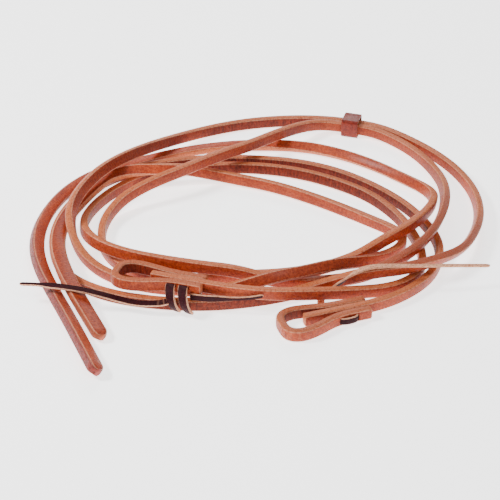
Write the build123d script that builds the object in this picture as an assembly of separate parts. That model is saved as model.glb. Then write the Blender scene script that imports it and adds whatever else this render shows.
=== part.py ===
"""A pair of split reins, coiled for storage, as separate pieces of leather.

Two straps of heavy harness leather lie in one loose coil of about three turns each. A folded leather
loop is laced to each strap's bit end, a flat lace ties each loop, and a leather keeper holds two passes
of the coil together at the back. Lengths are in millimetres and +Z is up. The origin is on the floor
under the middle of the coil, and the two bit ends lie towards -Y.
"""

from build123d import *
import math
import os

# Driving dimensions
STRAP_WIDTH = 9.5        # a strap's wide side: it mostly stands on edge, so this is its height
STRAP_THICK = 6.4        # the leather's thickness, which is the visible cut edge
LACE_WIDTH = 5.4
LACE_THICK = 1.8
FLOOR_GAP = 0.05         # how far the keeper stays above the floor

# Folded bit loop, in its own frame: u along the legs with 0 at the middle of the eye, v across them
EYE_RADIUS = 9.8         # inner radius of the eye, where the bit goes
LOOP_THICK = 6.4
LEG_END = 55.0           # from the middle of the eye to the squared ends of the legs
LEG_GAP = 0.15           # between a leg and the strap's end that it holds
EYE_OFFSET = 3.0         # the eye bulges to the near side of the strap's own line by this much
FAR_LEG_START = 24.0     # where each leg settles against the strap
NEAR_LEG_START = 30.0
LEG_BEND_RADIUS = 40.0
LEG_CORNER = 1.6         # rounding of the legs' ends
TAB_REACH_A = 12.5       # from the middle of each eye to the end of the strap between the legs
TAB_REACH_B = 4.0

# Lace slots through the legs and the strap, measured from the middle of the eye
SLOT_PLAY = 1.0          # a slot is this much larger than the lace, each way
SLOTS_A = (33.0, 43.0)
SLOT_RISE_A = 1.5        # the first loop's slots are this far above the leg's middle
SLOTS_B = (28.5, 43.0)

# Keeper: a rectangular band, open at both ends
KEEPER_CENTRE = (83.6, 169.2)
KEEPER_ANGLE = -16.5     # its length direction, seen from above
KEEPER_LENGTH = 15.0
KEEPER_INNER = (14.6, 13.2)
KEEPER_WALL = 1.8
KEEPER_CORNER = 1.2

# A strap's arcs: each takes this part of the shorter run beside its corner, in steps of a few degrees
ARC_SHARE = 0.45
ARC_STEP = 12.0

# Rounded tips of the straps: the length that narrows, in a few steps, and the width left at the very end
TIP_LENGTH = 4.2
TIP_STEPS = 5
TIP_BLUNT = 0.35         # as a part of the full width

# The first lace's bends, and the second lace's bar
TURN_RADIUS = 2.6
BAR_LIFT = 0.3
BAR_BULGE = 1.4
BAR_RADIUS = 12.0

# Strap routes, chosen by hand from the bit end to the tail, anticlockwise seen from above. Each point is
# x, y, the height of the strap's middle, and how far its upper edge leans outwards in degrees.
REIN_A_ROUTE = [
    (-83, -79.5, 15.9, -6), (-57, -87.5, 15.9, -6), (-28, -96.5, 15.8, -5), (4, -101.8, 15.6, -2),
    (34, -98, 13, 0), (66, -87, 6, 0), (97, -82, 4.8, 0), (117, -70, 4.8, 0), (127, -51, 4.8, 0),
    (128, -28, 4.8, 0), (123, -3, 4.8, 0), (112, 25, 5, 3), (93, 53, 5.3, 10), (66, 74, 5.4, 12),
    (36, 90, 5.4, 12), (2, 99, 5.3, 10), (-35, 101, 5, 3), (-70, 96, 4.8, 0), (-99, 84, 4.8, 0),
    (-121, 64, 4.8, 0), (-136, 40, 5, 0), (-143, 13, 8, 0), (-141, -14, 14, -8), (-128, -37, 17, -18),
    (-105, -51, 16.8, -18), (-76, -60, 16.4, -12), (-46, -67, 16, -5), (-19, -72, 16, 0),
    (6, -73, 8, 0), (30, -72.5, 4.8, 0), (55, -70, 4.8, 0), (78, -67, 6.6, 2), (98, -60, 11.5, 6),
    (116, -48, 15.8, 12), (131, -29, 16.2, 17), (143, -5, 15.8, 20), (152.5, 26, 14.5, 21),
    (155.5, 60, 11, 22), (150.5, 92, 7.4, 12), (139, 121, 6, 2), (124, 141.5, 6.4, 0),
    (104.5, 158.4, 7.4, 0), (83.6, 165.6, 7.7, 0), (65.5, 169.9, 8.2, 0), (51, 167, 10.2, 1), (36, 156, 13.6, 3),
    (16, 137, 17, 5), (-8, 114.5, 18.9, 5), (-35, 93, 21.2, 5), (-64, 66, 23, 5), (-92, 50, 19.5, 5),
    (-113, 38, 12.5, 5), (-125.5, 19, 6.5, 5), (-128.5, -5, 4.8, 0), (-123.5, -29, 4.8, 0),
    (-110, -50, 4.8, 0), (-88, -64, 4.8, 0), (-62, -69.5, 4.8, 0), (-36, -67, 4.8, 0),
    (-11, -63.5, 4.8, 0), (18, -61.5, 4.8, 0), (48, -53.5, 4.8, 0), (76, -41.5, 7.6, 0),
    (97, -28.5, 14.4, 0), (114, -16, 16.4, 0), (130, 2, 16.4, 0), (141, 22, 15.2, 2),
    (145, 42, 11.5, 12), (139, 61, 8, 28), (124, 79, 6.2, 39), (101, 102, 5.8, 42), (71, 123, 5.8, 44),
    (38, 136, 5.7, 52), (0, 140, 4.9, 72), (-39, 138, 3.8, 88), (-74, 127, 3.6, 88),
    (-104, 111, 4, 83), (-126, 99, 4.5, 78), (-146, 84, 4.8, 72), (-163, 60, 5.1, 64),
    (-174, 31, 5.3, 59), (-179, 0, 5.4, 56), (-177.5, -30, 5.4, 55), (-169, -60, 5.4, 55),
    (-156.5, -89, 5.4, 55), (-143, -119, 5.4, 55), (-129, -152, 5.4, 55), (-115.5, -184, 5.4, 55),
]
REIN_B_ROUTE = [
    (32, -119.8, 4.75, 0), (58, -110.9, 4.75, 0), (89, -100.3, 4.8, 0), (111, -86.5, 4.8, 0),
    (130, -67, 4.9, 2), (141, -43, 5, 5), (143, -16, 5, 4), (134, 14, 4.8, 0), (118, 43, 4.8, 0),
    (94, 70, 4.8, 0), (66, 92.5, 4.8, 0), (32, 107, 4.8, 0), (-5, 112.5, 4.8, 0), (-42, 113, 4.8, 0),
    (-76, 108, 4.8, 0), (-106, 97, 4.8, 0), (-130, 80.5, 4.8, 0), (-148, 58, 4.8, 0),
    (-160, 31, 4.8, 0), (-166, 2, 4.8, 0), (-165, -28, 4.8, 0), (-155, -56, 4.8, 0),
    (-137, -77, 4.8, 0), (-108, -92, 4.8, 0), (-75, -99, 4.8, 0), (-40, -101, 4.8, 0),
    (-6, -96, 4.8, 0), (27, -86, 4.8, 0), (57, -77, 9.5, 0), (84, -74, 15.8, 4), (112, -69, 16, 12),
    (138, -57, 16, 25), (159, -39, 13, 33), (173.5, -7, 9.4, 26), (181, 24, 7, 18), (181, 57, 5.7, 14),
    (172, 90, 5.1, 6), (156.5, 118.5, 5.2, 0), (134.5, 143.5, 6, 0), (110.5, 163.2, 7.2, 0),
    (85.6, 172.2, 7.7, 0), (57, 180.2, 6.8, 0), (24, 183.5, 5.2, 0), (-12, 178.5, 4.8, 2),
    (-43, 165, 5.8, 5), (-70, 144, 9.6, 10), (-94, 116, 17, 16), (-114, 86, 24.7, 22),
    (-132, 61, 26.4, 26), (-145, 36, 24.8, 27), (-151.5, 9, 25, 25), (-151.5, -14, 21.5, 17),
    (-145, -33, 12, 8), (-132, -50, 6, 2), (-113, -66, 4.8, 0), (-88, -77, 4.8, 0), (-64, -81, 4.8, 0),
    (-44, -82.5, 4.8, 0), (-28, -84, 6, -8), (-9, -84.5, 12.5, -30), (12, -81, 16.9, -43),
    (35, -73.5, 16.6, -45), (57, -64, 16.4, -42), (77, -51, 9.6, -30), (93, -40.5, 5.6, -10),
    (106, -31.5, 4.8, 0), (114, -20, 4.8, 0), (115, -8, 4.8, 0), (106, 3, 4.8, 0), (91, 15, 4.8, 2),
    (73, 29, 5.1, 7), (46, 48.5, 5.3, 12), (13, 68, 5.5, 14), (-18, 79.5, 5.6, 12), (-44, 84, 9, 12),
    (-67, 82.5, 14.6, 14), (-88, 79.5, 16, 26), (-107, 78, 15.6, 54), (-125, 71, 14.6, 74),
    (-137, 54, 14.2, 79), (-147, 33, 14, 80), (-156, 10, 14, 79), (-160.5, -15, 14, 80),
    (-159, -40, 14, 84), (-152, -66, 14.4, 84), (-142, -91, 13, 78), (-129, -115, 7, 75),
    (-116, -141, 4.3, 75),
]

# Lace tails, in the same form. A lean of 90 is a lace lying flat.
LACE_A_LEFT_ROUTE = [
    (-70.8, -106, 10.4, 72), (-81, -105.8, 9.3, 74), (-93, -104.4, 8.7, 75), (-105, -101.3, 9.7, 76),
    (-116, -99.8, 12.5, 78), (-127, -99.3, 15.6, 80), (-138, -98.2, 17.6, 82), (-150, -95.4, 17.7, 82),
    (-162, -92.2, 16.9, 82), (-173, -90.3, 16.3, 82), (-182, -89.4, 16, 82),
]
LACE_A_RIGHT_ROUTE = [
    (-53, -101, 12.6, 0), (-43, -103.6, 12.6, 0), (-31, -104, 12.7, 2), (-17, -104.9, 13.2, 4),
    (-6, -105.9, 14.8, 6), (2, -106.9, 17.4, 8),
]
LACE_B_ROUTE = [
    (47.5, -103.6, 3.4, 40), (46, -98, 2.4, 80), (45.5, -92.5, 2, 90), (46.6, -87.4, 2.5, 80),
    (51, -85.1, 5.1, 52), (56.8, -84.1, 9.8, 34), (63, -83.6, 15, 40), (70.5, -81.6, 20.2, 70),
    (80.5, -77.6, 22.8, 90), (93, -75.4, 22.8, 90), (109, -75.2, 22.7, 90), (126, -74.6, 22.4, 90),
    (143, -73, 21.4, 90), (160, -70.4, 19.6, 90), (176, -67.2, 17.4, 90),
]
# Each turn of the first lace leaves its slot and drops over the strap in front: (outwards, height), in
# millimetres from the near leg's face and from the floor.
LACE_A_TURN = [(-1.2, 18.3), (2.4, 18.2), (8.6, 15.2), (12, 10.6), (12.4, 6.2), (11.2, 3)]


def direction(start, end):
    return (end - start).normalized()


def arc_corner(before, corner, after):
    """The arc at a corner: its start, its end, its circle's centre, its radius and its turn in radians."""
    first = before - corner
    second = after - corner
    reach = ARC_SHARE * min(first.length, second.length)
    turn = math.radians(180 - first.get_angle(second))
    radius = reach / math.tan(turn / 2)
    inward = (first.normalized() + second.normalized()).normalized()
    centre = corner + inward * (radius / math.cos(turn / 2))
    return corner + first.normalized() * reach, corner + second.normalized() * reach, centre, radius, turn


def blend_lean(route, place):
    """The lean at a fractional point number, changing smoothly from point to point."""
    index = min(int(place), len(route) - 2)
    part = place - index
    part = part * part * (3 - 2 * part)
    return route[index][3] * (1 - part) + route[index + 1][3] * part


def stations(route):
    """Sections along the straight runs and tangent arcs: (centre, direction, lean), and the arcs' radii."""
    points = [Vector(*point[:3]) for point in route]
    found = [(points[0], direction(points[0], points[1]), route[0][3])]
    radii = []
    for number in range(1, len(points) - 1):
        before, corner, after = points[number - 1:number + 2]
        start, end, centre, radius, turn = arc_corner(before, corner, after)
        radii.append(radius)
        into = direction(before, corner)
        arm = (start - centre).normalized()
        steps = max(2, math.ceil(math.degrees(turn) / ARC_STEP))
        place_in = number - (corner - start).length / (corner - before).length
        place_out = number + (end - corner).length / (after - corner).length
        for step in range(steps + 1):
            angle = turn * step / steps
            centre_line = centre + (arm * math.cos(angle) + into * math.sin(angle)) * radius
            along = into * math.cos(angle) - arm * math.sin(angle)
            place = place_in + (place_out - place_in) * step / steps
            found.append((centre_line, along, blend_lean(route, place)))
    found.append((points[-1], direction(points[-2], points[-1]), route[-1][3]))
    return found, radii


def section_axes(along, lean):
    """The directions of a section's wide and thin sides."""
    outward = along.cross(Vector(0, 0, 1)).normalized()
    upward = outward.cross(along)
    tilt = math.radians(lean)
    wide = upward * math.cos(tilt) + outward * math.sin(tilt)
    thin = outward * math.cos(tilt) - upward * math.sin(tilt)
    return wide, thin


def section(centre, along, lean, width, thick):
    wide, thin = section_axes(along, lean)
    half_wide = wide * (width / 2)
    half_thin = thin * (thick / 2)
    corners = [centre + half_wide + half_thin, centre - half_wide + half_thin,
               centre - half_wide - half_thin, centre + half_wide - half_thin]
    return Wire.make_polygon(corners, close=True)


def leather_strip(name, route, width, thick, rounded_tip):
    """A flat strip along a route, printed with its length, its tightest arcs and a check of its volume."""
    found, radii = stations(route)
    sections = [section(centre, along, lean, width, thick) for centre, along, lean in found[:-1]]
    end, along, lean = found[-1]
    if rounded_tip:
        for step in range(TIP_STEPS + 1):
            part = step / TIP_STEPS
            narrow = max(TIP_BLUNT, math.sqrt(1 - part * part))
            centre = end - along * TIP_LENGTH * (1 - part)
            sections.append(section(centre, along, lean, width * narrow, thick))
    else:
        sections.append(section(end, along, lean, width, thick))
    solid = Solid.make_loft(sections, ruled=True)
    length = sum((second[0] - first[0]).length for first, second in zip(found, found[1:]))
    tightest = ", ".join(f"{radius:.0f}" for radius in sorted(radii)[:4])
    ratio = solid.volume / (width * thick * length)
    print(f"{name}: length {length:.0f}, tightest radii {tightest}, volume over section x length {ratio:.3f}")
    return solid


def eye_plane(route, tab_reach):
    """The loop's frame: origin in the middle of the eye, X along the legs, Y towards the far leg."""
    tab_end = Vector(*route[0][:3])
    along = direction(tab_end, Vector(*route[1][:3]))
    wide, thin = section_axes(along, route[0][3])
    return Plane(origin=tab_end - along * tab_reach + thin * EYE_OFFSET, x_dir=along, z_dir=wide)


def tangent_corner(leg_start, line_radius):
    """Where the line from a leg's start, just touching the eye's centre line, meets the eye's end line."""
    reach, side = leg_start
    to_middle = math.atan2(-side, -reach)
    spread = math.asin(line_radius / math.hypot(reach, side))
    slope = math.tan(to_middle - math.copysign(spread, side))
    return -line_radius, side + slope * (-line_radius - reach)


def bit_loop(plane, cutters):
    """A strip folded round the eye, with both legs against the strap's end, as one flat-sided solid."""
    leg = (STRAP_THICK + LOOP_THICK) / 2 + LEG_GAP
    line_radius = EYE_RADIUS + LOOP_THICK / 2
    far = (FAR_LEG_START, EYE_OFFSET + leg)
    near = (NEAR_LEG_START, EYE_OFFSET - leg)
    fold = line_radius * 0.995
    corners = [(LEG_END, far[1]), far, tangent_corner(far, line_radius),
               tangent_corner(near, line_radius), near, (LEG_END, near[1])]
    line = FilletPolyline(*corners, radius=[LEG_BEND_RADIUS, fold, fold, LEG_BEND_RADIUS])
    outline = trace(line, LOOP_THICK)
    loop = extrude(outline, amount=STRAP_WIDTH / 2, both=True)
    ends = [edge for edge in loop.edges().filter_by(Axis.Z) if edge.center().X > LEG_END - 0.1]
    loop = fillet(ends, LEG_CORNER)
    return plane.location * (loop - cutters)


def lace_slots(slots, rise, size_along, size_up):
    """Cutters for a pair of punched slots, in the loop's frame."""
    cutters = [Pos(place, EYE_OFFSET, rise) * Box(size_along, 4 * LOOP_THICK, size_up) for place in slots]
    return cutters[0] + cutters[1]


def first_lace_turns(plane, slots):
    """Two short drops of the first lace, from the near leg's slots down over the strap in front."""
    near_face = EYE_OFFSET - STRAP_THICK / 2 - LEG_GAP - LOOP_THICK
    turns = []
    for place in slots:
        root = plane.from_local_coords(Vector(place, near_face, 0))
        points = [(out, height) for out, height in LACE_A_TURN]
        turn_plane = Plane(origin=(root.X, root.Y, 0), x_dir=(0, -1, 0), z_dir=(-1, 0, 0))
        line = FilletPolyline(*points, radius=TURN_RADIUS)
        band = extrude(trace(line, LACE_THICK), amount=LACE_WIDTH / 2, both=True)
        turns.append(turn_plane.location * band)
    return turns


def second_lace_bar(plane, slots):
    """The second lace's bar on the near leg, with both ends going back through the slots."""
    near_face = EYE_OFFSET - STRAP_THICK / 2 - LEG_GAP - LOOP_THICK
    back_face = EYE_OFFSET + STRAP_THICK / 2 + LEG_GAP + LOOP_THICK
    bar = near_face - LACE_THICK / 2 - BAR_LIFT
    middle = (slots[0] + slots[1]) / 2
    points = [(slots[0], back_face), (slots[0], bar), (middle, bar - BAR_BULGE), (slots[1], bar),
              (slots[1], back_face)]
    line = FilletPolyline(*points, radius=[LACE_THICK, BAR_RADIUS, LACE_THICK])
    band = extrude(trace(line, LACE_THICK), amount=LACE_WIDTH / 2, both=True)
    return plane.location * band


def keeper():
    """The band that slides along the two passes at the back of the coil."""
    length_side = KEEPER_INNER[0] + 2 * KEEPER_WALL
    height = KEEPER_INNER[1] + 2 * KEEPER_WALL
    outer = Box(KEEPER_LENGTH, length_side, height)
    outer = fillet(outer.edges().filter_by(Axis.X), KEEPER_CORNER)
    band = outer - Box(2 * KEEPER_LENGTH, *KEEPER_INNER)
    place = Pos(*KEEPER_CENTRE, FLOOR_GAP + height / 2) * Rot(0, 0, KEEPER_ANGLE)
    return place * band


def main():
    os.makedirs("parts", exist_ok=True)
    plane_a = eye_plane(REIN_A_ROUTE, TAB_REACH_A)
    plane_b = eye_plane(REIN_B_ROUTE, TAB_REACH_B)
    cutters_a = lace_slots(SLOTS_A, SLOT_RISE_A, LACE_WIDTH + SLOT_PLAY, LACE_THICK + SLOT_PLAY)
    cutters_b = lace_slots(SLOTS_B, 0, LACE_THICK + SLOT_PLAY, LACE_WIDTH + SLOT_PLAY)
    strap_a = leather_strip("rein_a_strap", REIN_A_ROUTE, STRAP_WIDTH, STRAP_THICK, True)
    strap_b = leather_strip("rein_b_strap", REIN_B_ROUTE, STRAP_WIDTH, STRAP_THICK, True)
    strap_b = strap_b - plane_b.location * cutters_b
    turns = first_lace_turns(plane_a, SLOTS_A)
    pieces = {
        "rein_a_strap": strap_a,
        "rein_b_strap": strap_b,
        "rein_a_bit_loop": bit_loop(plane_a, cutters_a),
        "rein_b_bit_loop": bit_loop(plane_b, cutters_b),
        "lace_a_turn_1": turns[0],
        "lace_a_turn_2": turns[1],
        "lace_a_left_tail": leather_strip("lace_a_left_tail", LACE_A_LEFT_ROUTE, LACE_WIDTH, LACE_THICK, True),
        "lace_a_right_tail": leather_strip("lace_a_right_tail", LACE_A_RIGHT_ROUTE, LACE_WIDTH, LACE_THICK, True),
        "lace_b_bar": second_lace_bar(plane_b, SLOTS_B),
        "lace_b_tail": leather_strip("lace_b_tail", LACE_B_ROUTE, LACE_WIDTH, LACE_THICK, True),
        "keeper": keeper(),
    }
    for node, shape in pieces.items():
        export_step(shape, f"parts/{node}.step")


main()
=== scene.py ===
"""Coiled leather split reins: straps, bit loops, laces and keeper with their leathers, in metres."""

import math
from collections import namedtuple

import bpy
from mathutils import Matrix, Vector


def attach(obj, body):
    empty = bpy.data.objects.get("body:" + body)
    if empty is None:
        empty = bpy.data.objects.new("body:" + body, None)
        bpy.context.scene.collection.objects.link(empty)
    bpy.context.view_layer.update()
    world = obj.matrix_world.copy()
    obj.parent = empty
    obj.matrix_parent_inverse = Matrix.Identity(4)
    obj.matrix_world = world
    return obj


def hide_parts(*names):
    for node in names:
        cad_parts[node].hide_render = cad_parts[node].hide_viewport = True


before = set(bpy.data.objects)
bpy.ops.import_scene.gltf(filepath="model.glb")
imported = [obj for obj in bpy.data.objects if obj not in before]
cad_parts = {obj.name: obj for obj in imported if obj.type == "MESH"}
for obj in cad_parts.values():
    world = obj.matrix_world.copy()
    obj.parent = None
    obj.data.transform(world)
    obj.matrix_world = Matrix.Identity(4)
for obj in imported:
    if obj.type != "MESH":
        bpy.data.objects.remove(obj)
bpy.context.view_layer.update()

MM = 0.001
STRAP_WIDTH = 9.5 * MM
STRAP_THICK = 6.4 * MM
LACE_WIDTH = 5.4 * MM
LACE_THICK = 1.8 * MM
TURN_WIDTH = 7 * MM
TURN_THICK = 2.2 * MM

# Each strip's rounded arris, and how far its sides bulge
STRAP_ARRIS = 1.6 * MM
STRAP_CROWN = 0.12 * MM
LACE_ARRIS = 0.45 * MM
LACE_CROWN = 0.12 * MM

# The strips' ends: how long the rounded tip is, the shares of it that have a section, and how narrow and
# thin the very tip is. A cut end is softened to a share of its width and thickness.
STRAP_TIP = 7 * MM
LACE_TIP = 3 * MM
TIP_PARTS = (0.25, 0.45, 0.63, 0.78, 0.89, 0.96, 1.0)
TIP_NARROWEST = 0.3
TIP_THINNEST = 0.62
CUT_END = (0.86, 0.8)
CUT_BLUNT = 0.5 * MM
LOOP_CUT_END = 0.84
LOOP_CUT_BLUNT = 0.9 * MM

# A strap changes size over its last STRAP_TAIL, where its middle lies about TAIL_MIDDLE above the floor and
# rises as it gets thicker
STRAP_TAIL = 280 * MM
TAIL_MIDDLE = 5.3 * MM

# How much flesh side, creasing and pitting the bit loops show
LOOP_FLESH = 0.8
LOOP_BEND = 0.6
LOOP_PITS = 0.15

# The bit loops, from the middle of the eye: where the legs end, how far to the side the strap lies and how
# far forward it starts, and the places and sizes of the slots in the near leg
LEG_END = 55 * MM
LEG_GAP = 0.15 * MM
LEG_SHIFT = STRAP_THICK + LEG_GAP
EYE_OFFSET = 3 * MM
FAR_LEG = EYE_OFFSET + LEG_SHIFT
NEAR_LEG = EYE_OFFSET - LEG_SHIFT
NEAR_FACE = NEAR_LEG - STRAP_THICK / 2
TAB_REACH_A = 12.5 * MM
TAB_REACH_B = 4 * MM
SLOTS_A = (33 * MM, 43 * MM)
SLOTS_B = (28.5 * MM, 43 * MM)
SLOT_SIZE_A = (6.2 * MM, 2.6 * MM)
SLOT_SIZE_B = (2.6 * MM, 6.2 * MM)
SLOT_RISE_A = 1.5 * MM
SLOT_DEPTH = STRAP_THICK * 1.25

# Detail: steps of a smooth line to each route point, of a rounded arris and of the keeper's corners, and
# how far apart the sections of a strip, a bit loop and a lace's band are
CURVE_STEPS = 12
ARC_STEPS = 4
KEEPER_ARC_STEPS = 6
RING_STEP = 2.4 * MM
LOOP_RING_STEP = 1.5 * MM
BAND_RING_STEP = 0.7 * MM

# Routes from the bit end to the tail: x, y, height of the middle, in metres, and the lean in degrees of
# the strap's upper edge away from the middle of the coil.
REIN_A_ROUTE = [
    (-0.083, -0.0795, 0.0159, -6), (-0.057, -0.0875, 0.0159, -6), (-0.028, -0.0965, 0.0158, -5),
    (0.004, -0.1018, 0.0156, -2), (0.034, -0.098, 0.013, 0), (0.066, -0.087, 0.006, 0),
    (0.097, -0.082, 0.0048, 0), (0.117, -0.07, 0.0048, 0), (0.127, -0.051, 0.0048, 0),
    (0.128, -0.028, 0.0048, 0), (0.123, -0.003, 0.0048, 0), (0.112, 0.025, 0.005, 3),
    (0.093, 0.053, 0.0053, 10), (0.066, 0.074, 0.0054, 12), (0.036, 0.09, 0.0054, 12),
    (0.002, 0.099, 0.0053, 10), (-0.035, 0.101, 0.005, 3), (-0.07, 0.096, 0.0048, 0),
    (-0.099, 0.084, 0.0048, 0), (-0.121, 0.064, 0.0048, 0), (-0.136, 0.04, 0.005, 0),
    (-0.143, 0.013, 0.008, 0), (-0.141, -0.014, 0.014, -8), (-0.128, -0.037, 0.017, -18),
    (-0.105, -0.051, 0.0168, -18), (-0.076, -0.06, 0.0164, -12), (-0.046, -0.067, 0.016, -5),
    (-0.019, -0.072, 0.016, 0), (0.006, -0.073, 0.008, 0), (0.03, -0.0725, 0.0048, 0),
    (0.055, -0.07, 0.0048, 0), (0.078, -0.067, 0.0066, 2), (0.098, -0.06, 0.0115, 6),
    (0.116, -0.048, 0.0158, 12), (0.131, -0.029, 0.0162, 17), (0.143, -0.005, 0.0158, 20),
    (0.1525, 0.026, 0.0145, 21), (0.1555, 0.06, 0.011, 22), (0.1505, 0.092, 0.0074, 12),
    (0.139, 0.121, 0.006, 2), (0.124, 0.1415, 0.0064, 0), (0.1045, 0.1584, 0.0074, 0),
    (0.0836, 0.1656, 0.0077, 0), (0.0655, 0.1699, 0.0082, 0), (0.051, 0.167, 0.0102, 1),
    (0.036, 0.156, 0.0136, 3), (0.016, 0.137, 0.017, 5), (-0.008, 0.1145, 0.0189, 5),
    (-0.035, 0.093, 0.0212, 5), (-0.064, 0.066, 0.023, 5), (-0.092, 0.05, 0.0195, 5),
    (-0.113, 0.038, 0.0125, 5), (-0.1255, 0.019, 0.0065, 5), (-0.1285, -0.005, 0.0048, 0),
    (-0.1235, -0.029, 0.0048, 0), (-0.11, -0.05, 0.0048, 0), (-0.088, -0.064, 0.0048, 0),
    (-0.062, -0.0695, 0.0048, 0), (-0.036, -0.067, 0.0048, 0), (-0.011, -0.0635, 0.0048, 0),
    (0.018, -0.0615, 0.0048, 0), (0.048, -0.0535, 0.0048, 0), (0.076, -0.0415, 0.0076, 0),
    (0.097, -0.0285, 0.0144, 0), (0.114, -0.016, 0.0164, 0), (0.13, 0.002, 0.0164, 0),
    (0.141, 0.022, 0.0152, 2), (0.145, 0.042, 0.0115, 12), (0.139, 0.061, 0.008, 28),
    (0.124, 0.079, 0.0062, 39), (0.101, 0.102, 0.0058, 42), (0.071, 0.123, 0.0058, 44),
    (0.038, 0.136, 0.0057, 52), (0.0, 0.14, 0.0049, 72), (-0.039, 0.138, 0.0038, 88),
    (-0.074, 0.127, 0.0036, 88), (-0.104, 0.111, 0.004, 83), (-0.126, 0.099, 0.0045, 78),
    (-0.146, 0.084, 0.0048, 72), (-0.163, 0.06, 0.0051, 64), (-0.174, 0.031, 0.0053, 59),
    (-0.179, 0.0, 0.0054, 56), (-0.1775, -0.03, 0.0054, 55), (-0.169, -0.06, 0.0054, 55),
    (-0.1565, -0.089, 0.0054, 55), (-0.143, -0.119, 0.0054, 55), (-0.129, -0.152, 0.0054, 55),
    (-0.1155, -0.184, 0.0054, 55),
]
REIN_B_ROUTE = [
    (0.032, -0.1198, 0.00475, 0), (0.058, -0.1109, 0.00475, 0), (0.089, -0.1003, 0.0048, 0),
    (0.111, -0.0865, 0.0048, 0), (0.13, -0.067, 0.0049, 2), (0.141, -0.043, 0.005, 5),
    (0.143, -0.016, 0.005, 4), (0.134, 0.014, 0.0048, 0), (0.118, 0.043, 0.0048, 0),
    (0.094, 0.07, 0.0048, 0), (0.066, 0.0925, 0.0048, 0), (0.032, 0.107, 0.0048, 0),
    (-0.005, 0.1125, 0.0048, 0), (-0.042, 0.113, 0.0048, 0), (-0.076, 0.108, 0.0048, 0),
    (-0.106, 0.097, 0.0048, 0), (-0.13, 0.0805, 0.0048, 0), (-0.148, 0.058, 0.0048, 0),
    (-0.16, 0.031, 0.0048, 0), (-0.166, 0.002, 0.0048, 0), (-0.165, -0.028, 0.0048, 0),
    (-0.155, -0.056, 0.0048, 0), (-0.137, -0.077, 0.0048, 0), (-0.108, -0.092, 0.0048, 0),
    (-0.075, -0.099, 0.0048, 0), (-0.04, -0.101, 0.0048, 0), (-0.006, -0.096, 0.0048, 0),
    (0.027, -0.086, 0.0048, 0), (0.057, -0.077, 0.0095, 0), (0.084, -0.074, 0.0158, 4),
    (0.112, -0.069, 0.016, 12), (0.138, -0.057, 0.016, 25), (0.159, -0.039, 0.013, 33),
    (0.1735, -0.007, 0.0094, 26), (0.181, 0.024, 0.007, 18), (0.181, 0.057, 0.0057, 14),
    (0.172, 0.09, 0.0051, 6), (0.1565, 0.1185, 0.0052, 0), (0.1345, 0.1435, 0.006, 0),
    (0.1105, 0.1632, 0.0072, 0), (0.0856, 0.1722, 0.0077, 0), (0.057, 0.1802, 0.0068, 0),
    (0.024, 0.1835, 0.0052, 0), (-0.012, 0.1785, 0.0048, 2), (-0.043, 0.165, 0.0058, 5),
    (-0.07, 0.144, 0.0096, 10), (-0.094, 0.116, 0.017, 16), (-0.114, 0.086, 0.0247, 22),
    (-0.132, 0.061, 0.0264, 26), (-0.145, 0.036, 0.0248, 27), (-0.1515, 0.009, 0.025, 25),
    (-0.1515, -0.014, 0.0215, 17), (-0.145, -0.033, 0.012, 8), (-0.132, -0.05, 0.006, 2),
    (-0.113, -0.066, 0.0048, 0), (-0.088, -0.077, 0.0048, 0), (-0.064, -0.081, 0.0048, 0),
    (-0.044, -0.0825, 0.0048, 0), (-0.028, -0.084, 0.006, -8), (-0.009, -0.0845, 0.0125, -30),
    (0.012, -0.081, 0.0169, -43), (0.035, -0.0735, 0.0166, -45), (0.057, -0.064, 0.0164, -42),
    (0.077, -0.051, 0.0096, -30), (0.093, -0.0405, 0.0056, -10), (0.106, -0.0315, 0.0048, 0),
    (0.114, -0.02, 0.0048, 0), (0.115, -0.008, 0.0048, 0), (0.106, 0.003, 0.0048, 0),
    (0.091, 0.015, 0.0048, 2), (0.073, 0.029, 0.0051, 7), (0.046, 0.0485, 0.0053, 12),
    (0.013, 0.068, 0.0055, 14), (-0.018, 0.0795, 0.0056, 12), (-0.044, 0.084, 0.009, 12),
    (-0.067, 0.0825, 0.0146, 14), (-0.088, 0.0795, 0.016, 26), (-0.107, 0.078, 0.0156, 54),
    (-0.125, 0.071, 0.0146, 74), (-0.137, 0.054, 0.0142, 79), (-0.147, 0.033, 0.014, 80),
    (-0.156, 0.01, 0.014, 79), (-0.1605, -0.015, 0.014, 80), (-0.159, -0.04, 0.014, 84),
    (-0.152, -0.066, 0.0144, 84), (-0.142, -0.091, 0.013, 78), (-0.129, -0.115, 0.007, 75),
    (-0.116, -0.141, 0.0043, 75),
]
LACE_A_LEFT_ROUTE = [
    (-0.0708, -0.106, 0.0104, 72), (-0.081, -0.1058, 0.0093, 74), (-0.093, -0.1044, 0.0087, 75),
    (-0.105, -0.1013, 0.0097, 76), (-0.116, -0.0998, 0.0125, 78), (-0.127, -0.0993, 0.0156, 80),
    (-0.138, -0.0982, 0.0176, 82), (-0.15, -0.0954, 0.0177, 82), (-0.162, -0.0922, 0.0169, 82),
    (-0.173, -0.0903, 0.0163, 82), (-0.182, -0.0894, 0.016, 82),
]
LACE_A_RIGHT_ROUTE = [
    (-0.053, -0.101, 0.0126, 0), (-0.043, -0.1036, 0.0126, 0), (-0.031, -0.104, 0.0127, 2),
    (-0.017, -0.1049, 0.0132, 4), (-0.006, -0.1059, 0.0148, 6), (0.002, -0.1069, 0.0174, 8),
]
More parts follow.
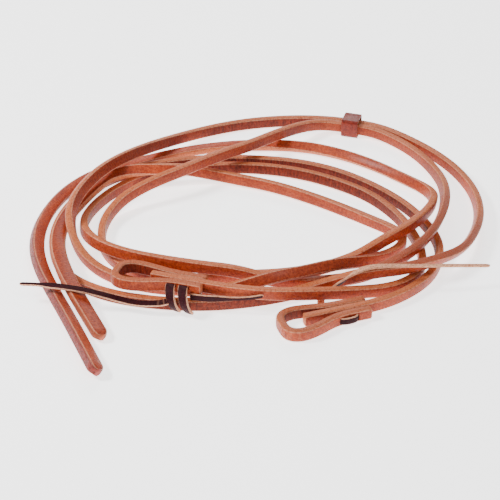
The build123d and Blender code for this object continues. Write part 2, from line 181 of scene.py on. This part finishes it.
LACE_B_ROUTE = [
    (0.0475, -0.1036, 0.0034, 40), (0.046, -0.098, 0.0024, 80), (0.0455, -0.0925, 0.002, 90),
    (0.0466, -0.0874, 0.0025, 80), (0.051, -0.0851, 0.0051, 52), (0.0568, -0.0841, 0.0098, 34),
    (0.063, -0.0836, 0.015, 40), (0.0705, -0.0816, 0.0202, 70), (0.0805, -0.0776, 0.0228, 90),
    (0.093, -0.0754, 0.0228, 90), (0.109, -0.0752, 0.0227, 90), (0.126, -0.0746, 0.0224, 90),
    (0.143, -0.073, 0.0214, 90), (0.16, -0.0704, 0.0196, 90), (0.176, -0.0672, 0.0174, 90),
]

# Where the leather's rougher flesh side shows: first and last route point, the side (1 faces away from the
# middle of the coil, -1 towards it), and how much of it shows
REIN_A_FLESH = [(11, 18, -1, 0.95), (19, 24, -1, 0.6), (37, 44, -1, 0.35), (45, 53, -1, 0.3)]
REIN_B_FLESH = [
    (5, 17, -1, 1.0), (18, 22, -1, 0.6), (22, 27, 1, 0.85), (36, 39, -1, 0.45), (40, 44, -1, 0.95),
    (45, 50, -1, 0.4), (58, 62, 1, 0.35), (67, 75, -1, 0.3), (78, 87, -1, 0.3),
]

# Where the cut edges are left rough and pitted: first and last route point, 0 for both edges, and how much
REIN_A_PITS = [(76, 87, 0, 1.0), (30, 36, 0, 0.4)]
REIN_B_PITS = [(60, 64, 0, 0.6), (84, 87, 0, 0.35), (30, 33, 0, 0.4)]

# One section of a strip: its middle, the directions and scales of its wide and thin sides, how far along the
# strip it is, and how much flesh side (inner and outer), bend and pitting it shows
Ring = namedtuple("Ring", "centre wide thin wide_scale thin_scale place inner outer bend pits",
                  defaults=(1.0, 1.0, 0.0, 0.0, 0.0, 0.0, 0.0))

# A bit loop's own frame: the middle of its eye, and the directions along its legs, to the far leg and up
LoopFrame = namedtuple("LoopFrame", "origin along across up")


def smoothed(points):
    """Points along the smooth NURBS line that has these control points."""
    data = bpy.data.curves.new("line", "CURVE")
    data.dimensions = "3D"
    data.resolution_u = CURVE_STEPS
    spline = data.splines.new("NURBS")
    spline.points.add(len(points) - 1)
    for number, point in enumerate(points):
        spline.points[number].co = (*point, 1)
    spline.order_u = 3
    spline.use_endpoint_u = True
    holder = bpy.data.objects.new("line", data)
    bpy.context.scene.collection.objects.link(holder)
    bpy.context.view_layer.update()
    graph = bpy.context.evaluated_depsgraph_get()
    mesh = bpy.data.meshes.new_from_object(holder.evaluated_get(graph))
    found = [vertex.co.copy() for vertex in mesh.vertices]
    bpy.data.meshes.remove(mesh)
    bpy.data.objects.remove(holder)
    bpy.data.curves.remove(data)
    return found


def distances(line):
    """How far along the line each point is."""
    found = [0.0]
    for before, after in zip(line, line[1:]):
        found.append(found[-1] + (after - before).length)
    return found


def value_at(line, along, place):
    """The line's value at a distance along it."""
    low, high = 0, len(along) - 1
    while high - low > 1:
        middle = (low + high) // 2
        if along[middle] <= place:
            low = middle
        else:
            high = middle
    share = (place - along[low]) / max(along[high] - along[low], 1e-9)
    return line[low].lerp(line[high], min(max(share, 0), 1))


def direction_at(line, along, place, reach):
    """The line's direction at a distance along it, taken over a short reach each way."""
    behind = value_at(line, along, max(place - reach, 0))
    ahead = value_at(line, along, min(place + reach, along[-1]))
    return (ahead - behind).normalized()


def section_axes(along, lean):
    """The directions of a section's wide and thin sides."""
    outward = along.cross(Vector((0, 0, 1))).normalized()
    upward = outward.cross(along)
    tilt = math.radians(lean)
    wide = upward * math.cos(tilt) + outward * math.sin(tilt)
    thin = outward * math.cos(tilt) - upward * math.sin(tilt)
    return wide, thin


def profile(width, thick, arris, crown):
    """A section's outline with rounded arrises and slightly crowned sides: wide, thin and edge share."""
    half_wide = width / 2
    half_thin = thick / 2
    corners = [(1, 1, 0), (-1, 1, 90), (-1, -1, 180), (1, -1, 270)]
    middles = [(0, half_thin + crown), (-half_wide - crown, 0),
               (0, -half_thin - crown), (half_wide + crown, 0)]
    found = []
    for (wide_sign, thin_sign, start), middle in zip(corners, middles):
        for step in range(ARC_STEPS + 1):
            angle = math.radians(start + 90 * step / ARC_STEPS)
            wide = wide_sign * (half_wide - arris) + arris * math.cos(angle)
            thin = thin_sign * (half_thin - arris) + arris * math.sin(angle)
            found.append((wide, thin, abs(math.cos(angle)) ** 1.5))
        found.append((*middle, 1.0 if middle[1] == 0 else 0.0))
    return found


def sweep(name, rings, outline, material, closed=False):
    """An object with its skin through the rings, capped at both ends or closed into a band."""
    count = len(outline)
    around = [0.0]
    for before, after in zip(outline, outline[1:] + outline[:1]):
        around.append(around[-1] + math.hypot(after[0] - before[0], after[1] - before[1]))
    points = []
    marks = {"edge": [], "flesh": [], "bend": [], "pits": []}
    for ring in rings:
        for across, deep, edge_share in outline:
            points.append(ring.centre + ring.wide * (across * ring.wide_scale)
                          + ring.thin * (deep * ring.thin_scale))
            marks["edge"].append(edge_share)
            marks["flesh"].append(ring.outer if deep > 0 else ring.inner)
            marks["bend"].append(ring.bend)
            marks["pits"].append(ring.pits)
    faces = []
    corners_uv = []
    spans = len(rings) if closed else len(rings) - 1
    for number in range(spans):
        after = (number + 1) % len(rings)
        start = rings[number].place
        end = start + (rings[after].centre - rings[number].centre).length
        for side in range(count):
            beside = (side + 1) % count
            faces.append((number * count + side, number * count + beside,
                          after * count + beside, after * count + side))
            corners_uv += [(start, around[side]), (start, around[side + 1]),
                           (end, around[side + 1]), (end, around[side])]
    if not closed:
        first_cap = range(count)
        last_cap = range((len(rings) - 1) * count, len(rings) * count)
        faces += [tuple(first_cap)[::-1], tuple(last_cap)]
        corners_uv += [(0.0, 0.0)] * (2 * count)
        for number in [*first_cap, *last_cap]:
            marks["edge"][number] = 1.0
    mesh = bpy.data.meshes.new(name)
    mesh.from_pydata(points, [], faces)
    uv = mesh.uv_layers.new(name="UVMap")
    for number, pair in enumerate(corners_uv):
        uv.data[number].uv = pair
    for label, values in marks.items():
        mesh.attributes.new(label, "FLOAT", "POINT").data.foreach_set("value", values)
    for polygon in mesh.polygons:
        polygon.use_smooth = True
    mesh.materials.append(material)
    piece = bpy.data.objects.new(name, mesh)
    bpy.context.scene.collection.objects.link(piece)
    return piece


def share_of(marks, number, side):
    """How much of a mark shows at a route point number, on one side."""
    found = 0.0
    for first, last, marked_side, amount in marks:
        if marked_side == side:
            before = min(max(number - first + 1, 0), 1)
            after = min(max(last + 1 - number, 0), 1)
            found = max(found, amount * before * after)
    return found


def bend_at(line, along, place):
    """How sharply the line turns there: 1 at a radius of about 20 mm, 0 from about 60 mm."""
    reach = 9 * MM
    here = value_at(line, along, place)
    before = here - value_at(line, along, max(place - reach, 0))
    after = value_at(line, along, min(place + reach, along[-1])) - here
    if before.length < 1e-6 or after.length < 1e-6:
        return 0.0
    turn = before.angle(after)
    return min(max((turn - 0.15) / 0.3, 0), 1)


def strip(name, route, outline, material, marks, pit_marks, tip, taper, end_wide, end_thin):
    """A leather strip along a route, changing size over its last stretch to a rounded tip, and its line."""
    line = smoothed([point[:3] for point in route])
    # the lean and the route point's number, smoothed in step with the line and kept small as it is
    look_scale = 100
    looks = smoothed([(point[3] / look_scale, number / look_scale, 0) for number, point in enumerate(route)])
    along = distances(line)
    total = along[-1]
    even = total - tip - CUT_BLUNT
    steps = int(even / RING_STEP)
    places = [(0.0, *CUT_END), (CUT_BLUNT, 1.0, 1.0)]
    places += [(CUT_BLUNT + even * step / steps, 1.0, 1.0) for step in range(1, steps + 1)]
    for part in TIP_PARTS:
        round_off = max(math.sqrt(1 - part * part), TIP_NARROWEST)
        places.append((total - tip * (1 - part), round_off, max(round_off, TIP_THINNEST) ** 0.5))
    rings = []
    for place, wide_scale, thin_scale in places:
        look = value_at(looks, along, place)
        number = look.y * look_scale
        wide, thin = section_axes(direction_at(line, along, place, 1.5 * MM), look.x * look_scale)
        change = min(max((place - total + taper) * 2 / taper, 0), 1)
        change = change * change * (3 - 2 * change)
        centre = value_at(line, along, place)
        centre.z += (end_thin - 1) * change * TAIL_MIDDLE
        rings.append(Ring(centre, wide, thin, wide_scale * (1 + (end_wide - 1) * change),
                          thin_scale * (1 + (end_thin - 1) * change), place, share_of(marks, number, -1),
                          share_of(marks, number, 1), bend_at(line, along, place),
                          share_of(pit_marks, number, 0)))
    return sweep(name, rings, outline, material), line, total


class Shader:
    """A new material's node tree, with a method for each kind of node that the leathers use."""

    def __init__(self, name):
        self.material = bpy.data.materials.new(name)
        self.material.use_nodes = True
        self.nodes = self.material.node_tree.nodes
        self.links = self.material.node_tree.links
        self.surface = self.nodes["Principled BSDF"]

    def feed(self, socket, value):
        """Give a socket a number, a colour or another node's output."""
        if isinstance(value, bpy.types.NodeSocket):
            self.links.new(value, socket)
        elif isinstance(value, tuple):
            socket.default_value = (*value, 1)
        else:
            socket.default_value = value

    def attribute(self, name):
        """A mark that the piece's points carry."""
        node = self.nodes.new("ShaderNodeAttribute")
        node.attribute_name = name
        return node.outputs["Fac"]

    def place(self):
        """The place on the object, in metres."""
        return self.nodes.new("ShaderNodeTexCoord").outputs["Object"]

    def scaled_uv(self, along, across):
        """The piece's own coordinates in millimetres, times a scale along it and a scale across it."""
        uv = self.nodes.new("ShaderNodeUVMap")
        uv.uv_map = "UVMap"
        mapping = self.nodes.new("ShaderNodeMapping")
        mapping.inputs["Scale"].default_value = (along * 1000, across * 1000, 1)
        self.links.new(uv.outputs["UV"], mapping.inputs["Vector"])
        return mapping.outputs["Vector"]

    def noise(self, vector, scale, detail, rough=0.5):
        """Soft noise at a place."""
        node = self.nodes.new("ShaderNodeTexNoise")
        node.inputs["Scale"].default_value = scale
        node.inputs["Detail"].default_value = detail
        node.inputs["Roughness"].default_value = rough
        self.links.new(vector, node.inputs["Vector"])
        return node.outputs["Fac"]

    def cells(self, vector, scale):
        """The distance to the middle of the nearest of many small cells."""
        node = self.nodes.new("ShaderNodeTexVoronoi")
        node.inputs["Scale"].default_value = scale
        self.links.new(vector, node.inputs["Vector"])
        return node.outputs["Distance"]

    def ramp(self, value, low, high, at_low=0.0, at_high=1.0):
        """The value stretched so that low gives at_low and high gives at_high, and held beyond them."""
        node = self.nodes.new("ShaderNodeMapRange")
        node.inputs["From Min"].default_value = low
        node.inputs["From Max"].default_value = high
        node.inputs["To Min"].default_value = at_low
        node.inputs["To Max"].default_value = at_high
        self.links.new(value, node.inputs["Value"])
        return node.outputs["Result"]

    def mix(self, share, first, second, kind="MIX"):
        """A mix of two colours: all first at a share of 0, and all second at 1."""
        node = self.nodes.new("ShaderNodeMix")
        node.data_type = "RGBA"
        node.blend_type = kind
        self.feed(node.inputs[0], share)
        self.feed(node.inputs[6], first)
        self.feed(node.inputs[7], second)
        return node.outputs[2]

    def maths(self, kind, first, second):
        """Two values added, subtracted or multiplied."""
        node = self.nodes.new("ShaderNodeMath")
        node.operation = kind
        self.feed(node.inputs[0], first)
        self.feed(node.inputs[1], second)
        return node.outputs[0]

    def plus(self, first, second):
        return self.maths("ADD", first, second)

    def minus(self, first, second):
        return self.maths("SUBTRACT", first, second)

    def times(self, first, second):
        return self.maths("MULTIPLY", first, second)


def leather(name, grain, dark, flesh, flesh_dark, edge, edge_dark, blush, arris_wear_and_highlight, arris_wear_and_highlight_share, gloss, coat):
    """Oiled leather: grain side, striated flesh side, cut edge and a light arris line (partly rubbed wear,
    partly a painted highlight), told apart by the marks.

    Each has a colour and a darker one. Blush is the pitted edge's colour, then come the colour of the light
    arris line (rubbed wear and a painted highlight together) and how much of it shows, gloss the lowest
    roughness, and coat how much wax lies on the surface.
    """
    shader = Shader(name)
    plus, minus, times, ramp, noise = shader.plus, shader.minus, shader.times, shader.ramp, shader.noise
    plain = shader.scaled_uv(1, 1)
    edge_mark = shader.attribute("edge")
    edge_share = ramp(edge_mark, 0.3, 0.8)
    flesh_share = shader.attribute("flesh")
    pit_mark = shader.attribute("pits")

    patches = ramp(noise(shader.place(), 40, 3), 0.4, 0.6)
    mottle = ramp(noise(plain, 0.42, 5, 0.75), 0.4, 0.6)
    lengthwise = ramp(noise(shader.scaled_uv(0.022, 0.05), 1.0, 3), 0.3, 0.7)
    folds = ramp(noise(shader.scaled_uv(0.42, 0.05), 1.0, 2), 0.5, 0.62)
    creases = times(folds, shader.attribute("bend"))
    stripes = ramp(noise(shader.scaled_uv(0.55, 0.12), 1.0, 5, 0.65), 0.3, 0.7)
    pits = times(ramp(noise(plain, 0.5, 4, 0.75), 0.47, 0.6), plus(times(pit_mark, 0.75), 0.25))
    speckle = ramp(noise(shader.scaled_uv(0.5, 0.5), 1.0, 4, 0.8), 0.54, 0.42)
    # a band along each arris, where the light line goes: partly rubbed wear, partly a painted highlight
    rim = times(ramp(edge_mark, 0.12, 0.35), ramp(edge_mark, 0.85, 0.5))

    tone = plus(plus(times(patches, 0.25), times(lengthwise, 0.35)), times(mottle, 0.4))
    colour = shader.mix(tone, dark, grain)
    colour = shader.mix(times(creases, 0.45), colour, edge)
    colour = shader.mix(flesh_share, colour, shader.mix(stripes, flesh_dark, flesh))
    cut_edge = shader.mix(pits, shader.mix(pit_mark, edge, blush), edge_dark)
    colour = shader.mix(edge_share, colour, cut_edge)
    # painted highlight along the arris, mixed with rubbed wear, in the lighter arris colour
    colour = shader.mix(times(rim, arris_wear_and_highlight_share), colour, arris_wear_and_highlight)
    colour = shader.mix(times(speckle, 0.75), colour, (0.50, 0.30, 0.24), "MULTIPLY")

    surface = shader.surface
    shader.feed(surface.inputs["Base Color"], colour)
    roughness = plus(ramp(mottle, 0, 1, gloss, gloss + 0.16), times(flesh_share, 0.22))
    shader.feed(surface.inputs["Roughness"], roughness)
    surface.inputs["Coat Weight"].default_value = coat
    surface.inputs["Coat Roughness"].default_value = 0.24
    surface.inputs["Specular IOR Level"].default_value = 0.12 + coat

    pores = ramp(shader.cells(plain, 0.8), 0.05, 0.4)
    height = plus(times(noise(plain, 0.9, 4, 0.65), 0.5), times(pores, 0.35))
    height = plus(height, times(stripes, flesh_share))
    height = minus(height, times(creases, 0.8))
    height = minus(height, times(pits, edge_share))
    bump = shader.nodes.new("ShaderNodeBump")
    bump.inputs["Strength"].default_value = 1.0
    bump.inputs["Distance"].default_value = 0.9 * MM
    shader.feed(bump.inputs["Height"], height)
    shader.feed(surface.inputs["Normal"], bump.outputs["Normal"])
    return shader.material


HARNESS = leather(
    "harness_leather", grain=(0.62, 0.105, 0.027), dark=(0.27, 0.024, 0.006),
    flesh=(0.30, 0.036, 0.010), flesh_dark=(0.06, 0.005, 0.002),
    edge=(0.72, 0.20, 0.070), edge_dark=(0.20, 0.022, 0.010), blush=(0.52, 0.105, 0.085),
    arris_wear_and_highlight=(0.92, 0.48, 0.30), arris_wear_and_highlight_share=0.5, gloss=0.33, coat=0.08,
)
LATIGO = leather(
    "latigo_lace", grain=(0.050, 0.003, 0.008), dark=(0.020, 0.0014, 0.003),
    flesh=(1.0, 0.56, 0.36), flesh_dark=(0.86, 0.40, 0.23),
    edge=(0.95, 0.50, 0.31), edge_dark=(0.55, 0.20, 0.11), blush=(0.95, 0.50, 0.31),
    arris_wear_and_highlight=(1.0, 0.58, 0.38), arris_wear_and_highlight_share=0.6, gloss=0.5, coat=0.0,
)
MAROON = leather(
    "keeper_leather", grain=(0.34, 0.036, 0.012), dark=(0.14, 0.010, 0.004),
    flesh=(0.2, 0.03, 0.015), flesh_dark=(0.1, 0.01, 0.005),
    edge=(0.3, 0.05, 0.02), edge_dark=(0.10, 0.012, 0.006), blush=(0.3, 0.05, 0.02),
    arris_wear_and_highlight=(0.6, 0.2, 0.12), arris_wear_and_highlight_share=0.5, gloss=0.28, coat=0.12,
)

strap_outline = profile(STRAP_WIDTH, STRAP_THICK, STRAP_ARRIS, STRAP_CROWN)
lace_outline = profile(LACE_WIDTH, LACE_THICK, LACE_ARRIS, LACE_CROWN)
turn_outline = profile(TURN_WIDTH, TURN_THICK, LACE_ARRIS, LACE_CROWN)

# The two straps, with how much wider and thicker each is at its tail
REINS = [
    ("rein_a", REIN_A_ROUTE, REIN_A_FLESH, REIN_A_PITS, 1.2, 1.2),
    ("rein_b", REIN_B_ROUTE, REIN_B_FLESH, REIN_B_PITS, 1.25, 1.03),
]
for name, route, marks, pit_marks, end_wide, end_thin in REINS:
    piece, line, length = strip(name, route, strap_outline, HARNESS, marks, pit_marks, STRAP_TIP, STRAP_TAIL,
                                end_wide, end_thin)
    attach(piece, "reins")
    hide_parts(name + "_strap")

# The laces' free ends, each narrowing to half its width over its last stretch. The left one starts behind
# the first turn, and the long one shows its flesh side.
LACE_A_LEFT_VISIBLE = [(-0.0650, -0.1036, 0.0122, 70)] + LACE_A_LEFT_ROUTE
LACES = [
    ("lace_a_left", LACE_A_LEFT_VISIBLE, "lace_a_left_tail", [], 25 * MM),
    ("lace_a_right", LACE_A_RIGHT_ROUTE, "lace_a_right_tail", [], 40 * MM),
    ("lace_b_free", LACE_B_ROUTE, "lace_b_tail", [(0, 14, -1, 1.0)], 110 * MM),
]
for name, route, node, marks, taper in LACES:
    piece, line, length = strip(name, route, lace_outline, LATIGO, marks, [], LACE_TIP, taper, 0.5, 1)
    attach(piece, "reins")
    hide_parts(node)


def loop_frame(route, tab_reach):
    """The frame of the bit loop at a strap's first end."""
    tab_end = Vector(route[0][:3])
    along = (Vector(route[1][:3]) - tab_end).normalized()
    up, thin = section_axes(along, route[0][3])
    origin = tab_end - along * tab_reach + thin * EYE_OFFSET
    return LoopFrame(origin, along, up.cross(along), up)


def from_loop(place, reach, side, rise=0.0):
    """A point given in a bit loop's frame."""
    return place.origin + place.along * reach + place.across * side + place.up * rise


def loop_rings(line, up):
    """Rings along a bit loop's line, with their wide sides upright and flesh side in the eye."""
    along = distances(line)
    total = along[-1]
    even = total - 2 * LOOP_CUT_BLUNT
    steps = int(total / LOOP_RING_STEP)
    places = [(0.0, LOOP_CUT_END), (LOOP_CUT_BLUNT, 1.0)]
    places += [(LOOP_CUT_BLUNT + even * step / steps, 1.0) for step in range(1, steps + 1)]
    places.append((total, LOOP_CUT_END))
    rings = []
    for spot, scale in places:
        thin = direction_at(line, along, spot, 1 * MM).cross(up)
        rings.append(Ring(value_at(line, along, spot), up, thin, scale, scale, spot, inner=LOOP_FLESH,
                          bend=LOOP_BEND * bend_at(line, along, spot), pits=LOOP_PITS))
    return rings


def bit_loop(name, node, place, slots, slot_size, slot_rise):
    """The folded strip: far leg, round the eye, near leg, with its two punched slots."""
    fold = [(LEG_END, FAR_LEG), (41 * MM, FAR_LEG), (25 * MM, 9.7 * MM), (9 * MM, 13.0 * MM),
            (-4.5 * MM, 14.3 * MM), (-13.4 * MM, 9.4 * MM), (-14.2 * MM, 0), (-13.2 * MM, -9.6 * MM),
            (-4.5 * MM, -14.2 * MM), (9 * MM, -11.6 * MM), (23 * MM, -5.6 * MM), (34 * MM, NEAR_LEG),
            (44 * MM, NEAR_LEG), (LEG_END, NEAR_LEG)]
    line = smoothed([from_loop(place, reach, side) for reach, side in fold])
    piece = sweep(name, loop_rings(line, place.up), strap_outline, HARNESS)
    size_along, size_up = slot_size
    sides = (place.along * size_along, place.across * SLOT_DEPTH, place.up * size_up)
    cutters = []
    for reach in slots:
        bpy.ops.mesh.primitive_cube_add(size=1)
        cutter = bpy.context.object
        middle = from_loop(place, reach, NEAR_LEG, slot_rise)
        for vertex in cutter.data.vertices:
            local = vertex.co.copy()
            vertex.co = middle + sides[0] * local.x + sides[1] * local.y + sides[2] * local.z
        cutters.append(cutter)
    for cutter in cutters:
        cut = piece.modifiers.new("slot", "BOOLEAN")
        cut.operation = "DIFFERENCE"
        cut.object = cutter
    bpy.context.view_layer.update()
    graph = bpy.context.evaluated_depsgraph_get()
    slotted = bpy.data.meshes.new_from_object(piece.evaluated_get(graph))
    piece.modifiers.clear()
    piece.data = slotted
    for cutter in cutters:
        bpy.data.objects.remove(cutter)
    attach(piece, "reins")
    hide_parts(node)


place_a = loop_frame(REIN_A_ROUTE, TAB_REACH_A)
place_b = loop_frame(REIN_B_ROUTE, TAB_REACH_B)
bit_loop("bit_loop_a", "rein_a_bit_loop", place_a, SLOTS_A, SLOT_SIZE_A, SLOT_RISE_A)
bit_loop("bit_loop_b", "rein_b_bit_loop", place_b, SLOTS_B, SLOT_SIZE_B, 0.0)


def band_rings(line, wide, outward_sign):
    """Rings of a lace along a line, with a fixed wide direction."""
    along = distances(line)
    total = along[-1]
    steps = max(int(total / BAND_RING_STEP), 4)
    rings = []
    for step in range(steps + 1):
        spot = total * step / steps
        tangent = direction_at(line, along, spot, 0.6 * MM)
        level = (wide - tangent * wide.dot(tangent)).normalized()
        thin = tangent.cross(level) * outward_sign
        rings.append(Ring(value_at(line, along, spot), level, thin, place=spot))
    return rings


# The first lace's two turns, out of their slots and down over the strap in front, each a little twisted:
# how far along X, how far out to the front and how high, in millimetres
TURN_WIDE = Vector((math.cos(math.radians(30)), -math.sin(math.radians(30)), 0))
TURN = [(-1.2, -3.0, 18.2), (-1.6, 1.5, 19.6), (-1.8, 6.4, 19.3), (-1.4, 11.0, 16.0), (-0.2, 13.2, 11.2),
        (1.6, 13.2, 6.8), (3.6, 11.2, 3.4)]
for number, reach in enumerate(SLOTS_A):
    root = from_loop(place_a, reach, NEAR_FACE)
    line = smoothed([(root.x + shift * MM, root.y - out * MM, height * MM) for shift, out, height in TURN])
    piece = sweep(f"lace_turn_{number + 1}", band_rings(line, TURN_WIDE, -1), turn_outline, LATIGO)
    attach(piece, "reins")
    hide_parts(f"lace_a_turn_{number + 1}")

# The second lace's bar, out of one slot, along the near leg's face and into the other
bar_start, bar_end = SLOTS_B
bar_middle = (bar_start + bar_end) / 2
bar = [(bar_start, NEAR_FACE + 5 * MM), (bar_start, NEAR_FACE + 1.5 * MM),
       (bar_start + 0.8 * MM, NEAR_FACE - 1.2 * MM), (bar_middle - 2.5 * MM, NEAR_FACE - 2.3 * MM),
       (bar_middle + 2.5 * MM, NEAR_FACE - 2.3 * MM), (bar_end - 0.8 * MM, NEAR_FACE - 1.2 * MM),
       (bar_end, NEAR_FACE + 1.5 * MM), (bar_end, NEAR_FACE + 5 * MM)]
line = smoothed([from_loop(place_b, reach, side) for reach, side in bar])
piece = sweep("lace_bar", band_rings(line, place_b.up, 1), lace_outline, LATIGO)
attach(piece, "reins")
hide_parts("lace_b_bar")

# The keeper: a band of thin leather, bent to a rounded rectangle. Its sizes are half the width and height
# of the wall's middle, and the radius of its corners there.
KEEPER_MIDDLE = Vector((0.0836, 0.1692, 0.00845))
KEEPER_TURN = math.radians(-16.5)
KEEPER_LENGTH = 15 * MM
KEEPER_WALL = 1.6 * MM
KEEPER_HALF = (8.35 * MM, 7.55 * MM)
KEEPER_BEND = 1.8 * MM
KEEPER_ARRIS = 0.45 * MM
KEEPER_CROWN = 0.05 * MM
keeper_axis = Vector((math.cos(KEEPER_TURN), math.sin(KEEPER_TURN), 0))
keeper_side = Vector((-math.sin(KEEPER_TURN), math.cos(KEEPER_TURN), 0))
keeper_up = Vector((0, 0, 1))
rings = []
travelled = 0.0
for side_sign, up_sign, start in ((1, 1, 0), (-1, 1, 90), (-1, -1, 180), (1, -1, 270)):
    for step in range(KEEPER_ARC_STEPS + 1):
        angle = math.radians(start + 90 * step / KEEPER_ARC_STEPS)
        across = side_sign * (KEEPER_HALF[0] - KEEPER_BEND) + KEEPER_BEND * math.cos(angle)
        height = up_sign * (KEEPER_HALF[1] - KEEPER_BEND) + KEEPER_BEND * math.sin(angle)
        centre = KEEPER_MIDDLE + keeper_side * across + keeper_up * height
        outward = keeper_side * math.cos(angle) + keeper_up * math.sin(angle)
        if rings:
            travelled += (centre - rings[-1].centre).length
        rings.append(Ring(centre, keeper_axis, outward, place=travelled))
keeper_outline = profile(KEEPER_LENGTH, KEEPER_WALL, KEEPER_ARRIS, KEEPER_CROWN)
piece = sweep("keeper_band", rings, keeper_outline, MAROON, closed=True)
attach(piece, "keeper")
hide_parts("keeper")

# The floor: pale paper that gives off a little light of its own
FLOOR_SIZE = 8
FLOOR_DROP = 0.2 * MM
bpy.ops.mesh.primitive_plane_add(size=FLOOR_SIZE, location=(0, 0, -FLOOR_DROP))
floor = bpy.context.object
floor.name = "floor"
paper = Shader("paper_floor")
paper_tone = paper.mix(paper.noise(paper.place(), 3, 2), (0.90, 0.90, 0.90), (0.93, 0.93, 0.93))
paper.feed(paper.surface.inputs["Base Color"], paper_tone)
paper.surface.inputs["Roughness"].default_value = 0.9
paper.surface.inputs["Emission Color"].default_value = (1, 1, 1, 1)
paper.surface.inputs["Emission Strength"].default_value = 2.1
floor.data.materials.append(paper.material)

# The camera, level from side to side and looking down at the coil
LENS = 105.6
SENSOR_WIDTH = 36
ELEVATION = math.radians(34)
DISTANCE = 1.1736
LOOK_AT = Vector((-0.008, -0.020, 0))
camera_data = bpy.data.cameras.new("camera")
camera_data.lens = LENS
camera_data.sensor_width = SENSOR_WIDTH
camera_data.dof.use_dof = False
camera = bpy.data.objects.new("camera", camera_data)
camera.location = LOOK_AT + Vector((0, -math.cos(ELEVATION), math.sin(ELEVATION))) * DISTANCE
camera.rotation_euler = (math.radians(90) - ELEVATION, 0, 0)
bpy.context.scene.collection.objects.link(camera)
bpy.context.scene.camera = camera


def area_light(name, where, size, watts):
    """A round white light turned to the coil."""
    data = bpy.data.lights.new(name, "AREA")
    data.shape = "DISK"
    data.size = size
    data.energy = watts
    light = bpy.data.objects.new(name, data)
    light.location = where
    light.rotation_euler = (LOOK_AT - Vector(where)).to_track_quat("-Z", "Y").to_euler()
    bpy.context.scene.collection.objects.link(light)


area_light("key", (-1.1, -0.1, 1.1), 0.35, 30)
area_light("front_top", (0.45, -0.9, 1.4), 0.5, 9)
area_light("back_strip", (0.15, 1.5, 1.05), 0.7, 15)
world = bpy.data.worlds.new("studio")
world.use_nodes = True
background = world.node_tree.nodes["Background"]
background.inputs["Color"].default_value = (1, 1, 1, 1)
background.inputs["Strength"].default_value = 0.22
bpy.context.scene.world = world

bpy.context.view_layer.update()
